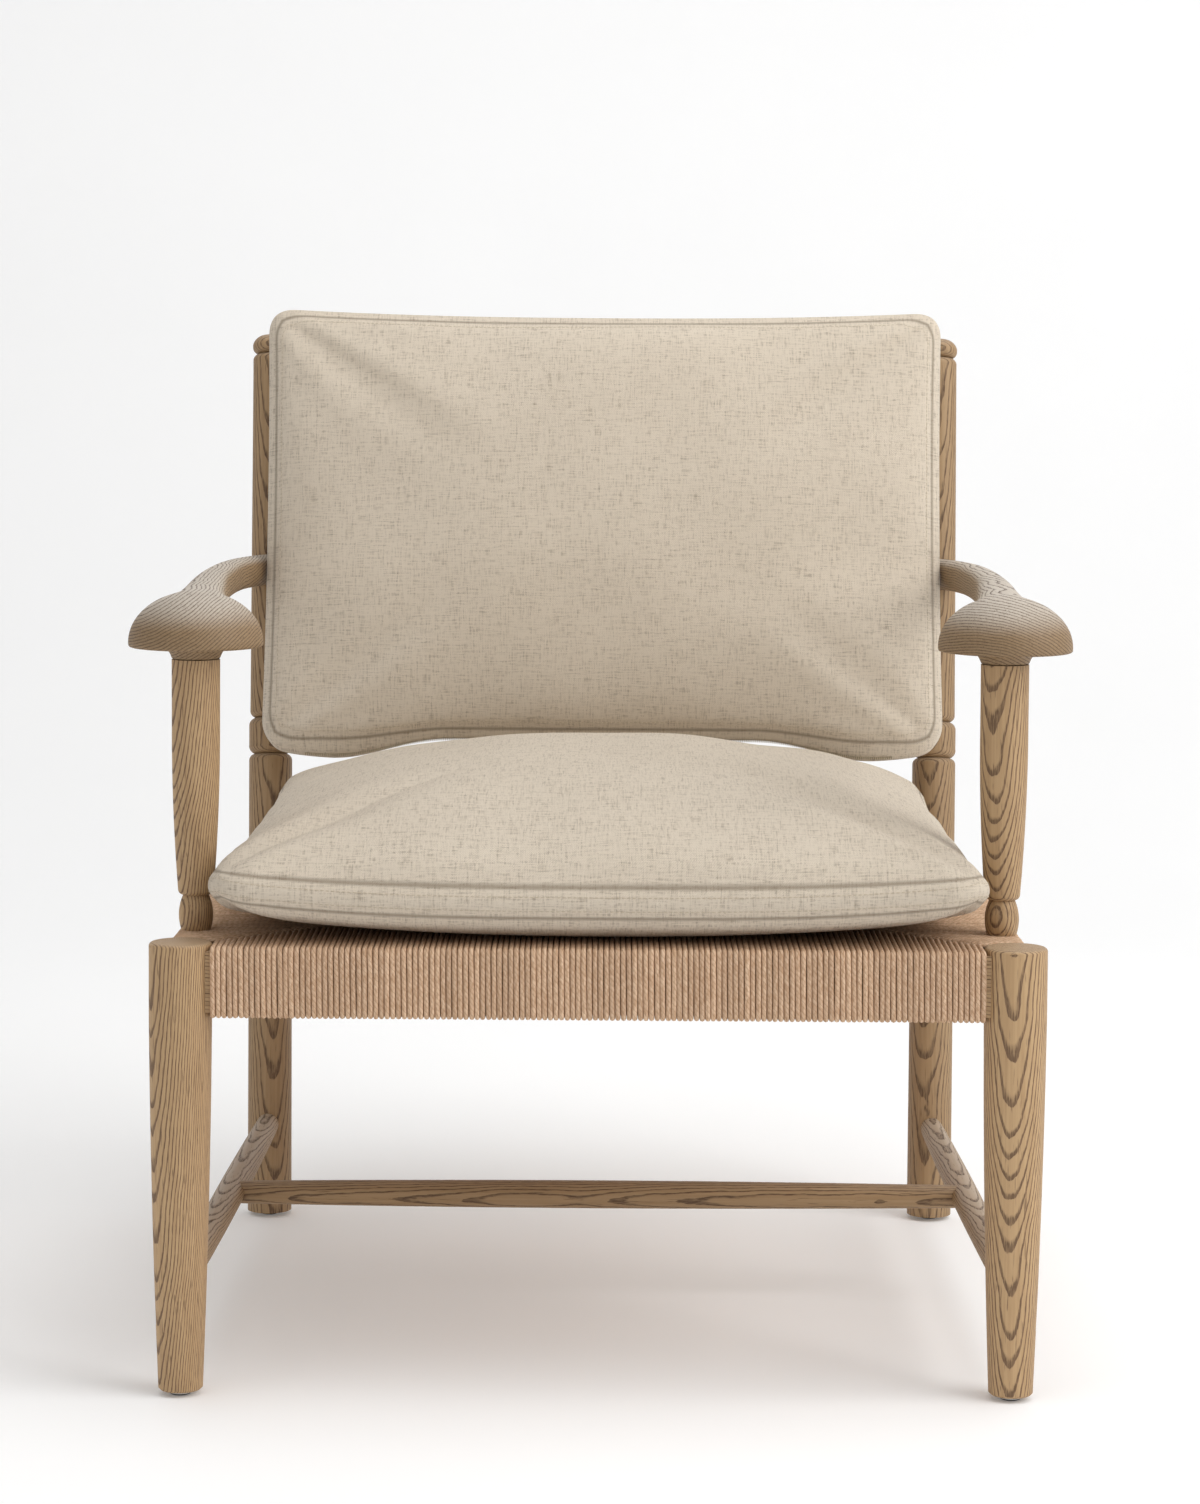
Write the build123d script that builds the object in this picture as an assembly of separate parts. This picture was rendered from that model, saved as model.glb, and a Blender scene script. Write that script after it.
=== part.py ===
"""Wooden armchair: a turned ash frame with a paper-cord seat and two loose linen cushions.

Millimetres, +Z up. The front of the chair faces -Y, and "left" is the -X side, which is
on the left for someone who stands in front of the chair and looks at it. While it is built,
Y = 0 is the plane through the axes of the two front legs. Just before export everything is
moved along Y, so that the origin lies on the floor below the middle of the whole chair.
"""
from build123d import *
import os
from math import atan2, cos, degrees, hypot, radians, sin, sqrt

# ---------------------------------------------------------------- driving dimensions
# Every turned member is given by its axis; radii are in mm.
FOOT_Z = 4.0                     # the wood starts here, on top of the glides
LEG_X = 328.5                    # front leg axis, each side of the middle
LEG_TOP = 360.0
LEG_R = 24.8                     # upper leg
LEG_R_MID = 22.3                 # half way down the taper
LEG_R_FOOT = 17.6
LEG_TAPER_TOP = 300.0            # the taper starts below this height

POST_FOOT = (318.0, 623.0, 0.0)  # rear post axis where it would meet the floor
POST_TOP = (331.0, 772.0, 847.0)
POST_R = 21.0                    # from the floor to the bead
POST_R_BEAD = 21.0
POST_R_UPPER = (20.0, 18.0)      # upper shaft, bottom and top
POST_R_FINIAL = 18.4
BEAD_LOW, BEAD_HIGH = 437.0, 472.0
FINIAL_LOW = 828.0

RAIL_LOW, RAIL_HIGH = 306.0, 354.5
RAIL_MID = (RAIL_LOW + RAIL_HIGH) / 2
FRONT_RAIL_T = 27.0              # board thicknesses
SIDE_RAIL_T = 20.0
SIDE_RAIL_X = 326.0              # side rail's middle where it meets the front leg
CORD = 4.5                       # paper cord diameter

STRETCHER_Z = 87.0
STRETCHER_R_MID, STRETCHER_R_END = 12.5, 10.3
CROSS_Y = 328.0
CROSS_R_MID, CROSS_R_END = 12.2, 9.8

ARM_POST = (325.0, 75.0)         # axis of the upright below each arm rest's front
ARM_POST_TOP = 577.0
ARM_BOTTOM = 587.0               # flat underside of the arm's front
ARM_TOP = 632.0
ARM_RIM = 591.0                  # height where the front of the arm is widest
PADDLE = (54.0, 61.0)            # half width and half length of that front
ARM_COLLAR = (19.4, 26.0)        # radius below the arm: at the post, at the underside
ARM_TENON = (9.0, 30.0)          # arm post's upper tenon: radius, length
RAIL_TENON = (6.5, 32.0)         # its lower tenon

SCREW_Z = 618.0                  # where the arm's screw meets the rear post's axis
SCREW_START = 62.0               # from the plug's outer end to that axis
PLUG_R, PLUG_DEPTH = 6.0, 20.0
SCREW_HEAD_R, SCREW_HEAD_T = 4.6, 3.5
SCREW_R, SCREW_END = 2.5, 70.0

SLAT_HEIGHTS = {"lower": 532.0, "middle": 662.0, "upper": 788.0}
SLAT_H, SLAT_T, SLAT_BOW = 60.0, 12.0, 24.0
SLAT_REACH = 6.0                 # the slats end this far short of the posts' axes

SEAT_PAD_HALF_W = 304.0
SEAT_PAD_FRONT, SEAT_PAD_REAR = -17.0, 650.0
SEAT_PAD_EDGE, SEAT_PAD_CROWN = 51.0, 78.0
SEAT_PAD_LIFT = 1.4              # clear of the cord, and of the front legs when it slides out
BACK_PAD_HALF_W = 323.0
BACK_PAD_LENGTH = 423.5          # along the lean
BACK_PAD_BOTTOM = (680.0, 447.0) # y, z of the lower edge of its back face
BACK_PAD_BEVEL, BACK_PAD_BAND, BACK_PAD_CROWN = 47.0, 7.0, 58.0
COVER_T = 1.5                    # linen and its lining
ZIP_TAPE = (5.0, 1.4)            # width and thickness of the closed teeth
ZIP_SLIDER = (10.0, 8.0, 2.2)    # length, width, thickness

CUP_R, CUP_WALL, CUP_LOW = 9.3, 1.0, 1.4   # steel cup under each leg
PAD_R, PAD_TOP = 8.2, 2.8
NAIL_R, NAIL_DEPTH = 1.25, 16.0

GAP = 0.08                       # clearance round a glued tenon
SEAT_TOP = RAIL_HIGH + CORD
LEFT, RIGHT = -1, 1
SIDE_NAMES = {LEFT: "left", RIGHT: "right"}


# ---------------------------------------------------------------- small helpers
def solid_of_revolution(outline):
    """Turn an outline of (radius, height) lines about Z; it starts and ends on the axis."""
    face = make_face(outline + Line(outline @ 1, outline @ 0))
    return revolve(Plane.XZ * face, Axis.Z)


def join_outline(*pieces):
    """One wire from edges that follow each other."""
    outline = Curve()
    for piece in pieces:
        outline += piece
    return Wire(outline.edges())


def shoulder(r_full, z_full, r_groove, z_groove):
    """Rounded edge between a full radius and the bottom of a turned groove."""
    keep = 1 - sqrt(0.5)
    middle = (r_full - (r_full - r_groove) * keep, z_groove + (z_full - z_groove) * keep)
    return ThreePointArc((r_full, z_full), middle, (r_groove, z_groove))


def axis_plane(start, end):
    """Plane at start whose normal points to end and whose X is as level as it can be."""
    direction = Vector(*end) - Vector(*start)
    level = Vector(1, 0, 0) if abs(direction.normalized().X) < 0.9 else Vector(0, 1, 0)
    return Plane(origin=start, x_dir=level, z_dir=direction)


def rod(start, end, radius, gap=0.0):
    """Plain cylinder from one point to another, made larger all round by gap."""
    length = (Vector(*end) - Vector(*start)).length
    upright = Pos(0, 0, -gap) * Cylinder(radius + gap, length + 2 * gap,
                                         align=(Align.CENTER, Align.CENTER, Align.MIN))
    return axis_plane(start, end) * upright


def board(start, end, thickness, low, high):
    """Upright board whose centre line runs level from start to end (x, y)."""
    dx, dy = end[0] - start[0], end[1] - start[1]
    middle = Pos((start[0] + end[0]) / 2, (start[1] + end[1]) / 2, (low + high) / 2)
    turn = Rot(0, 0, degrees(atan2(dy, dx)))
    return middle * turn * Box(hypot(dx, dy), thickness, high - low)


def along(start, end, distance):
    """Point at a distance from start on the way to end."""
    step = (Vector(*end) - Vector(*start)).normalized() * distance
    return tuple(Vector(*start) + step)


def mirror_x(shape, side):
    """The right-hand shape for side RIGHT, and its mirror image for side LEFT."""
    return shape if side == RIGHT else mirror(shape, about=Plane.YZ)


def post_axis(z):
    """Point on the right rear post's axis at height z."""
    t = (z - POST_FOOT[2]) / (POST_TOP[2] - POST_FOOT[2])
    return tuple(a + (b - a) * t for a, b in zip(POST_FOOT, POST_TOP))


# ---------------------------------------------------------------- turned blanks, right side
def front_leg_blank():
    edge = 3.0
    outline = join_outline(
        Polyline((0, FOOT_Z), (LEG_R_FOOT - 1.5, FOOT_Z), (LEG_R_FOOT, FOOT_Z + 1.5)),
        ThreePointArc((LEG_R_FOOT, FOOT_Z + 1.5), (LEG_R_MID, LEG_TAPER_TOP / 2),
                      (LEG_R, LEG_TAPER_TOP)),
        Line((LEG_R, LEG_TAPER_TOP), (LEG_R, LEG_TOP - edge)),
        RadiusArc((LEG_R, LEG_TOP - edge), (LEG_R - edge, LEG_TOP), -edge),
        Line((LEG_R - edge, LEG_TOP), (0, LEG_TOP)))
    return Pos(LEG_X, 0, 0) * solid_of_revolution(outline)


def rear_post_blank():
    stretch = (Vector(*POST_TOP) - Vector(*POST_FOOT)).length / POST_TOP[2]
    groove, ease, bead_ease = 5.8, 7.0, 9.0
    bead_low, bead_high, finial_low, top = (
        z * stretch for z in (BEAD_LOW, BEAD_HIGH, FINIAL_LOW, POST_TOP[2]))
    start = -3 * POST_R * (POST_TOP[1] - POST_FOOT[1]) / POST_TOP[2]
    r_low, r_high = POST_R_UPPER
    r_cap, cap_edge, cap_top = POST_R_FINIAL * 0.72, top - 2.6, POST_R_FINIAL * 0.4
    outline = join_outline(
        Polyline((0, start), (POST_R, start), (POST_R, bead_low - ease)),
        shoulder(POST_R, bead_low - ease, POST_R - groove, bead_low),
        shoulder(POST_R_BEAD, bead_low + bead_ease, POST_R - groove, bead_low),
        Line((POST_R_BEAD, bead_low + bead_ease), (POST_R_BEAD, bead_high - bead_ease)),
        shoulder(POST_R_BEAD, bead_high - bead_ease, r_low - groove, bead_high),
        shoulder(r_low, bead_high + ease, r_low - groove, bead_high),
        Line((r_low, bead_high + ease), (r_high, finial_low - ease)),
        shoulder(r_high, finial_low - ease, r_high - groove, finial_low),
        shoulder(POST_R_FINIAL, finial_low + ease, r_high - groove, finial_low),
        Line((POST_R_FINIAL, finial_low + ease), (POST_R_FINIAL, finial_low + ease + 2)),
        ThreePointArc((POST_R_FINIAL, finial_low + ease + 2), (r_cap, cap_edge),
                      (cap_top, top - 0.3)),
        Line((cap_top, top - 0.3), (0, top)))
    post = axis_plane(POST_FOOT, POST_TOP) * solid_of_revolution(outline)
    floor_cut = Pos(POST_FOOT[0], POST_FOOT[1], FOOT_Z) * Box(
        200, 200, 100, align=(Align.CENTER, Align.CENTER, Align.MAX))
    return post - floor_cut


def arm_post_shape():
    """Upright that carries the arm: bead, groove, swelling shaft and a tenon at each end."""
    bead_r, neck_r, groove_z = 13.8, 10.2, 387.0
    foot_r, middle_r, full_r = 14.4, 17.9, 19.3
    shaft_low, shaft_middle, shaft_full = groove_z + 4, 450.0, 530.0
    outline = join_outline(
        Line((0, RAIL_HIGH), (neck_r, RAIL_HIGH)),
        ThreePointArc((neck_r, RAIL_HIGH), (bead_r, (RAIL_HIGH + groove_z) / 2),
                      (neck_r, groove_z)),
        shoulder(foot_r, shaft_low, neck_r, groove_z),
        ThreePointArc((foot_r, shaft_low), (middle_r, shaft_middle), (full_r, shaft_full)),
        Polyline((full_r, shaft_full), (ARM_COLLAR[0], ARM_POST_TOP), (0, ARM_POST_TOP)))
    shaft = Pos(*ARM_POST, 0) * solid_of_revolution(outline)
    return shaft + arm_post_tenon(0.0, "top") + arm_post_tenon(0.0, "bottom")


def arm_post_tenon(gap, end):
    radius, length = ARM_TENON if end == "top" else RAIL_TENON
    start, end_z = (ARM_POST_TOP, length) if end == "top" else (RAIL_HIGH, -length)
    return rod((*ARM_POST, start), (*ARM_POST, start + end_z), radius, gap)


# ---------------------------------------------------------------- seat rails
def front_rail_tenon(gap, side):
    """Tenon that reaches 20 mm into the front leg, below the leg's rounded top."""
    inner = LEG_X - LEG_R - 4
    outer = LEG_X - LEG_R + 20 + gap
    tenon = board((inner, 0), (outer, 0), 12 + 2 * gap, RAIL_LOW + 8 - gap, RAIL_HIGH - 6 + gap)
    return mirror_x(tenon, side)


def side_rail_line():
    """The side rail's centre line, from the front leg's axis to the rear post's."""
    rear = post_axis(RAIL_MID)
    return (SIDE_RAIL_X, 0.0), (rear[0], rear[1])


def side_rail_tenon(gap, end):
    front, rear = side_rail_line()
    low, high = RAIL_LOW + 10 - gap, RAIL_HIGH - 10 + gap
    if end == "front":
        return board((front[0], LEG_R - 17 - gap), (front[0], LEG_R + 6), 10 + 2 * gap, low, high)
    return board((rear[0], rear[1] - POST_R - 8), (rear[0], rear[1] - 7 + gap),
                 10 + 2 * gap, low, high)


def rear_rail_tenon(gap, side):
    rear = post_axis(RAIL_MID)
    tenon = board((rear[0] - POST_R - 4, rear[1]), (rear[0] - 5 + gap, rear[1]),
                  10 + 2 * gap, RAIL_LOW + 10 - gap, RAIL_HIGH - 10 + gap)
    return mirror_x(tenon, side)


def make_front_rail(legs):
    rail = board((-LEG_X, 0), (LEG_X, 0), FRONT_RAIL_T, RAIL_LOW, RAIL_HIGH)
    rail = rail - legs[LEFT] - legs[RIGHT]
    return rail.solids().sort_by(SortBy.VOLUME)[-1] + front_rail_tenon(0, LEFT) + \
        front_rail_tenon(0, RIGHT)


def make_rear_rail(posts):
    rear = post_axis(RAIL_MID)
    rail = board((-rear[0], rear[1]), (rear[0], rear[1]), SIDE_RAIL_T, RAIL_LOW, RAIL_HIGH)
    rail = rail - posts[LEFT] - posts[RIGHT]
    return rail.solids().sort_by(SortBy.VOLUME)[-1] + rear_rail_tenon(0, LEFT) + \
        rear_rail_tenon(0, RIGHT)


def make_side_rail(leg, post):
    """Right side rail, with the hole for the arm post's lower tenon."""
    rail = board(*side_rail_line(), SIDE_RAIL_T, RAIL_LOW, RAIL_HIGH) - leg - post
    rail = rail.solids().sort_by(SortBy.VOLUME)[-1]
    rail = rail + side_rail_tenon(0, "front") + side_rail_tenon(0, "rear")
    return rail - arm_post_tenon(GAP, "bottom")


# ---------------------------------------------------------------- stretchers
def swelled_bar(start, end, r_mid, r_end):
    """Bar that is thickest half way along its length."""
    length = (Vector(*end) - Vector(*start)).length
    outline = join_outline(
        Line((0, 0), (r_end, 0)),
        ThreePointArc((r_end, 0), (r_mid, length / 2), (r_end, length)),
        Line((r_end, length), (0, length)))
    return axis_plane(start, end) * solid_of_revolution(outline)


def side_stretcher_line():
    return (LEG_X, 0.0, STRETCHER_Z), post_axis(STRETCHER_Z)


def side_stretcher_tenon(gap, end):
    front, rear = side_stretcher_line()
    if end == "front":
        return rod(along(front, rear, 4), along(front, rear, 28), 7.0, gap)
    return rod(along(rear, front, 5), along(rear, front, 28), 7.0, gap)


def cross_line():
    """Axis of the cross stretcher, from one side stretcher's axis to the other's."""
    front, rear = side_stretcher_line()
    x = front[0] + (rear[0] - front[0]) * CROSS_Y / rear[1]
    return (-x, CROSS_Y, STRETCHER_Z), (x, CROSS_Y, STRETCHER_Z)


def cross_tenon(gap, side):
    left, right = cross_line()
    return mirror_x(rod(along(right, left, 2), along(right, left, 20), 6.0, gap), side)


def make_side_stretcher(leg, post):
    front, rear = side_stretcher_line()
    bar = swelled_bar(front, rear, STRETCHER_R_MID, STRETCHER_R_END)
    bar = bar - cross_tenon(GAP, RIGHT) - leg - post
    bar = bar.solids().sort_by(SortBy.VOLUME)[-1]
    return bar + side_stretcher_tenon(0, "front") + side_stretcher_tenon(0, "rear")


def make_cross_stretcher():
    left, right = cross_line()
    bar = swelled_bar(left, right, CROSS_R_MID, CROSS_R_END)
    for side in (LEFT, RIGHT):
        neighbour = swelled_bar(*side_stretcher_line(), STRETCHER_R_MID, STRETCHER_R_END)
        bar = bar - mirror_x(neighbour, side)
    bar = bar.solids().sort_by(SortBy.VOLUME)[-1]
    return bar + cross_tenon(0, LEFT) + cross_tenon(0, RIGHT)


# ---------------------------------------------------------------- back slats
def back_slat(height, gap=0.0):
    """Rounded board bent to an arc between the rear posts, square to their lean.

    Its ends are let into the posts with their whole section. It is turned about the arc's
    centre, and gap makes it larger all round, for the mortises.
    """
    half, y, z = post_axis(height)
    bend = (half * half + SLAT_BOW * SLAT_BOW) / (2 * SLAT_BOW)
    lean = (0, POST_TOP[1] - POST_FOOT[1], POST_TOP[2])
    centre = Plane(origin=(0, y, z), x_dir=(1, 0, 0), z_dir=lean) * Pos(0, SLAT_BOW - bend, 0)
    half_angle = degrees(atan2(half - SLAT_REACH + gap, bend - SLAT_BOW))
    section = Pos(bend, 0, 0) * RectangleRounded(SLAT_T + 2 * gap, SLAT_H + 2 * gap, 3.0 + gap)
    arc = revolve(Plane.XZ * section, Axis.Z, 2 * half_angle)
    return centre * Rot(0, 0, 90 - half_angle) * arc


# ---------------------------------------------------------------- arms
def arm_section(place, heading, half_w, low, high):
    """Rounded cross-section of the arm's neck, square to its heading in plan."""
    square = 0.74                # 1 is an ellipse, less is squarer
    count = 16
    points = []
    for step in range(count):
        angle = radians(360 * step / count)
        c, s = cos(angle), sin(angle)
        across = half_w * abs(c) ** square * (1 if c >= 0 else -1)
        up = (high - low) / 2 * abs(s) ** square * (1 if s >= 0 else -1)
        points.append((across, up))
    plane = Plane(origin=(*place, (low + high) / 2),
                  x_dir=(cos(heading), -sin(heading), 0), z_dir=(sin(heading), cos(heading), 0))
    return plane * make_face(Spline(*points, periodic=True))


def arm_neck():
    """The arm from above its post to the rear post: it bows outwards, then turns in."""
    # x, y, heading from +Y towards +X in degrees, half width, underside
    stations = (
        (325.0, 72.0, 2.0, 30.0, 589.0),
        (327.0, 120.0, 5.0, 24.5, 591.0),
        (333.0, 200.0, 5.0, 20.0, 596.0),
        (343.0, 330.0, 4.0, 17.2, 601.0),
        (350.0, 470.0, 1.0, 15.5, 602.5),
        (351.0, 570.0, -4.0, 15.0, 602.5),
        (344.5, 650.0, -16.0, 15.5, 602.5),
        (329.0, 712.0, -18.0, 17.0, 602.5),
        (322.5, 732.0, -18.0, 17.2, 602.5),
    )
    sections = [arm_section((x, y), radians(turn), half_w, low, ARM_TOP)
                for x, y, turn, half_w, low in stations]
    return loft(sections)


def arm_paddle():
    """Domed front of the arm, flat below, with the collar that meets the arm post."""
    half_w, half_l = PADDLE
    collar_low, collar_high = ARM_COLLAR
    dome = scale(Sphere(1), by=(half_w, half_l, ARM_TOP - ARM_RIM))
    dome = Pos(*ARM_POST, ARM_RIM) * dome
    below = Pos(*ARM_POST, ARM_BOTTOM) * Box(
        4 * half_w, 4 * half_l, 100, align=(Align.CENTER, Align.CENTER, Align.MAX))
    outline = join_outline(
        Line((0, ARM_POST_TOP), (collar_low, ARM_POST_TOP)),
        ThreePointArc((collar_low, ARM_POST_TOP), (collar_low + 2.2, ARM_BOTTOM - 4),
                      (collar_high, ARM_BOTTOM)),
        Polyline((collar_high, ARM_BOTTOM), (collar_high - 6, ARM_BOTTOM + 6),
                 (0, ARM_BOTTOM + 6)))
    return (dome - below) + Pos(*ARM_POST, 0) * solid_of_revolution(outline)


def arm_screw_axis():
    """From the arm's inner face, through its end, to the rear post's axis."""
    target = post_axis(SCREW_Z)
    away = Vector(0.22, -1, 0).normalized()
    return tuple(Vector(*target) + away * SCREW_START), target


def arm_screw(gap=0.0):
    """Wood screw: a countersunk head and a shank that runs into the rear post."""
    start, target = arm_screw_axis()
    below_head = along(start, target, PLUG_DEPTH + SCREW_HEAD_T)
    head = rod(along(start, target, PLUG_DEPTH), below_head, SCREW_HEAD_R, gap)
    return head + rod(below_head, along(start, target, SCREW_END), SCREW_R, gap)


def arm_plug_hole(gap=0.0):
    start, target = arm_screw_axis()
    return rod(start, along(start, target, PLUG_DEPTH - gap), PLUG_R, gap)


def make_arm(post):
    """Right arm, before its plug is cut to the arm's surface."""
    arm = arm_neck() + arm_paddle() - post
    arm = arm.solids().sort_by(SortBy.VOLUME)[-1]
    return arm - arm_post_tenon(GAP, "top")


# ---------------------------------------------------------------- paper-cord seat
def seat_block():
    """Block over the four rails, as far out as their cord reaches."""
    front, rear = side_rail_line()
    reach = SIDE_RAIL_T / 2 + CORD
    y_front = -FRONT_RAIL_T / 2 - CORD
    y_rear = rear[1] + reach
    outline = Polyline((-front[0] - reach, y_front), (front[0] + reach, y_front),
                       (rear[0] + reach, y_rear), (-rear[0] - reach, y_rear), close=True)
    block = extrude(Pos(0, 0, RAIL_LOW - CORD) * make_face(outline), SEAT_TOP - RAIL_LOW + CORD)
    return fillet(block.edges().filter_by(Axis.Z, reverse=True), 3.5)


def seat_pocket():
    """The closed space inside the four rails, between the upper and the lower web."""
    _, rear = side_rail_line()
    x = rear[0] - SIDE_RAIL_T / 2
    y_low, y_high = FRONT_RAIL_T / 2, rear[1] - SIDE_RAIL_T / 2
    return Pos(0, (y_low + y_high) / 2, RAIL_MID) * Box(2 * x, y_high - y_low,
                                                      RAIL_HIGH - RAIL_LOW)


def make_woven_seat(neighbours):
    """Cord wrapped over the rails: an upper web, a lower web and the pocket between."""
    seat = seat_block() - seat_pocket()
    for neighbour in neighbours:
        seat = seat - neighbour
    return seat.solids().sort_by(SortBy.VOLUME)[-1]


# ---------------------------------------------------------------- cushions
def crowned_profile(half, edge, crown, bevel=0.0):
    """Outline of a cushion seen from its edge: flat below, upright sides, a bowed top."""
    low = [(-half + bevel, 0), (half - bevel, 0)]
    sides = [(half, bevel), (half, edge)]
    outline = Polyline(*low, *sides) if bevel else Polyline(low[0], low[1], sides[1])
    top = ThreePointArc((half, edge), (0, edge + crown), (-half, edge))
    left = Polyline((-half, edge), (-half, bevel), low[0]) if bevel else Line((-half, edge), low[0])
    return make_face(outline + top + left)


def cushion(half_x, half_y, edge, crown, inset, bevel=0.0):
    """Crowned cushion on the XY plane, centred; inset makes it smaller all round."""
    hx, hy = half_x - inset, half_y - inset
    across = Plane.XZ * crowned_profile(hx, edge - inset, crown - inset, bevel)
    lengthways = Plane.YZ * crowned_profile(hy, edge - inset, crown - inset, bevel)
    crossed = extrude(across, hy, both=True) & extrude(lengthways, hx, both=True)
    return Pos(0, 0, inset) * crossed if inset else crossed


def cushion_pieces(place, half_x, half_y, edge, crown, bevel=0.0):
    """Cover and insert of one cushion: the cover is a sewn skin round the insert."""
    room = COVER_T + 0.1
    outer = cushion(half_x, half_y, edge, crown, 0.0, bevel)
    space = cushion(half_x, half_y, edge, crown, COVER_T, bevel)
    insert = cushion(half_x, half_y, edge, crown, room, bevel)
    return place * (outer - space), place * insert


def zip_strip(place, length):
    """Closed zip along an edge, with its slider near one end; it lies on local Y = 0."""
    width, thick = ZIP_TAPE
    slider_length, slider_width, slider_thick = ZIP_SLIDER
    teeth = Pos(0, thick / 2, 0) * Box(length, thick, width)
    slider = Pos(8 - length / 2, slider_thick / 2, 0) * Box(slider_length, slider_thick,
                                                            slider_width)
    return place * (teeth + slider)


def make_cushions():
    seat_mid = (SEAT_PAD_FRONT + SEAT_PAD_REAR) / 2
    seat_half = (SEAT_PAD_REAR - SEAT_PAD_FRONT) / 2
    seat_place = Pos(0, seat_mid, SEAT_TOP + SEAT_PAD_LIFT)
    seat = cushion_pieces(seat_place, SEAT_PAD_HALF_W, seat_half, SEAT_PAD_EDGE, SEAT_PAD_CROWN)
    seat_zip = zip_strip(Pos(0, SEAT_PAD_REAR, SEAT_TOP + 24), 520)

    lean = atan2(POST_TOP[1] - POST_FOOT[1] + POST_R - POST_R_UPPER[1],
                 POST_TOP[2] - POST_FOOT[2])
    y, z = BACK_PAD_BOTTOM
    lower_edge = Plane(origin=(0, y, z), x_dir=(1, 0, 0), z_dir=(0, -cos(lean), sin(lean)))
    half_l = BACK_PAD_LENGTH / 2
    back_place = lower_edge * Pos(0, half_l, 0)
    edge = BACK_PAD_BEVEL + BACK_PAD_BAND
    back = cushion_pieces(back_place, BACK_PAD_HALF_W, half_l, edge, BACK_PAD_CROWN,
                          BACK_PAD_BEVEL)
    band_middle = lower_edge * Pos(0, 0, BACK_PAD_BEVEL + BACK_PAD_BAND / 2)
    back_zip = zip_strip(band_middle * Rot(0, 0, 180), 540)
    return {
        "seat_cushion_cover": seat[0], "seat_cushion_insert": seat[1],
        "seat_cushion_zip": seat_zip,
        "back_cushion_cover": back[0], "back_cushion_insert": back[1],
        "back_cushion_zip": back_zip,
    }


# ---------------------------------------------------------------- feet
def foot_places():
    places = []
    for side in (LEFT, RIGHT):
        rear = post_axis(FOOT_Z)
        places.append(Pos(side * LEG_X, 0, 0))
        places.append(Pos(side * rear[0], rear[1], 0))
    return places


def upright(radius, low, high):
    return Pos(0, 0, low) * Cylinder(radius, high - low, align=(Align.CENTER, Align.CENTER,
                                                                Align.MIN))


def glide_cup():
    """Steel cup under a leg, open downwards for its pad, with a nail hole in the middle."""
    cup = upright(CUP_R, CUP_LOW, FOOT_Z) - upright(CUP_R - CUP_WALL, CUP_LOW, PAD_TOP)
    return cup - upright(NAIL_R + 0.05, PAD_TOP, FOOT_Z)


def glide_pad():
    return fillet(upright(PAD_R, 0, PAD_TOP).edges().sort_by(Axis.Z)[0], 0.8)


def glide_nail(gap=0.0):
    return upright(NAIL_R + gap, PAD_TOP, FOOT_Z + NAIL_DEPTH + gap)


def four(shape):
    return [place * shape for place in foot_places()]


# ---------------------------------------------------------------- assembly
def build():
    """All nodes by name, before the move to the chair's own origin."""
    legs = {side: mirror_x(front_leg_blank(), side) for side in (LEFT, RIGHT)}
    posts = {side: mirror_x(rear_post_blank(), side) for side in (LEFT, RIGHT)}
    nodes = {}

    arm_right = make_arm(posts[RIGHT])
    plug = arm_plug_hole() & arm_right
    plug = plug.solids().sort_by(SortBy.VOLUME)[-1]
    arm_right = arm_right - arm_plug_hole(GAP) - arm_screw(GAP)
    arm_post = arm_post_shape()
    side_rail = make_side_rail(legs[RIGHT], posts[RIGHT])
    stretcher = make_side_stretcher(legs[RIGHT], posts[RIGHT])
    nails = four(glide_nail(GAP))
    slat_cuts = [back_slat(height, GAP) for height in SLAT_HEIGHTS.values()]

    leg = legs[RIGHT] - front_rail_tenon(GAP, RIGHT) - side_rail_tenon(GAP, "front")
    leg = leg - side_stretcher_tenon(GAP, "front") - nails
    post = posts[RIGHT] - side_rail_tenon(GAP, "rear") - rear_rail_tenon(GAP, RIGHT)
    post = post - side_stretcher_tenon(GAP, "rear") - nails - slat_cuts - arm_screw(GAP)

    for side, name in SIDE_NAMES.items():
        nodes["front_leg_" + name] = mirror_x(leg, side)
        nodes["rear_post_" + name] = mirror_x(post, side)
        nodes["arm_" + name] = mirror_x(arm_right, side)
        nodes["arm_post_" + name] = mirror_x(arm_post, side)
        nodes["side_seat_rail_" + name] = mirror_x(side_rail, side)
        nodes["side_stretcher_" + name] = mirror_x(stretcher, side)
    nodes["front_seat_rail"] = make_front_rail(legs)
    nodes["rear_seat_rail"] = make_rear_rail(posts)
    nodes["cross_stretcher"] = make_cross_stretcher()
    for name, height in SLAT_HEIGHTS.items():
        nodes["back_slat_" + name] = back_slat(height)

    seat_neighbours = [legs[LEFT], legs[RIGHT], posts[LEFT], posts[RIGHT],
                       nodes["front_seat_rail"], nodes["rear_seat_rail"]]
    for name in SIDE_NAMES.values():
        seat_neighbours += [nodes["side_seat_rail_" + name], nodes["arm_post_" + name]]
    nodes["woven_seat"] = make_woven_seat(seat_neighbours)

    nodes["arm_screws"] = Compound([mirror_x(arm_screw(), side) for side in (LEFT, RIGHT)])
    nodes["arm_screw_plugs"] = Compound([mirror_x(plug, side) for side in (LEFT, RIGHT)])
    nodes["foot_glide_cups"] = Compound(four(glide_cup()))
    nodes["foot_glide_pads"] = Compound(four(glide_pad()))
    nodes["foot_glide_nails"] = Compound(four(glide_nail()))
    nodes.update(make_cushions())
    return nodes


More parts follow.
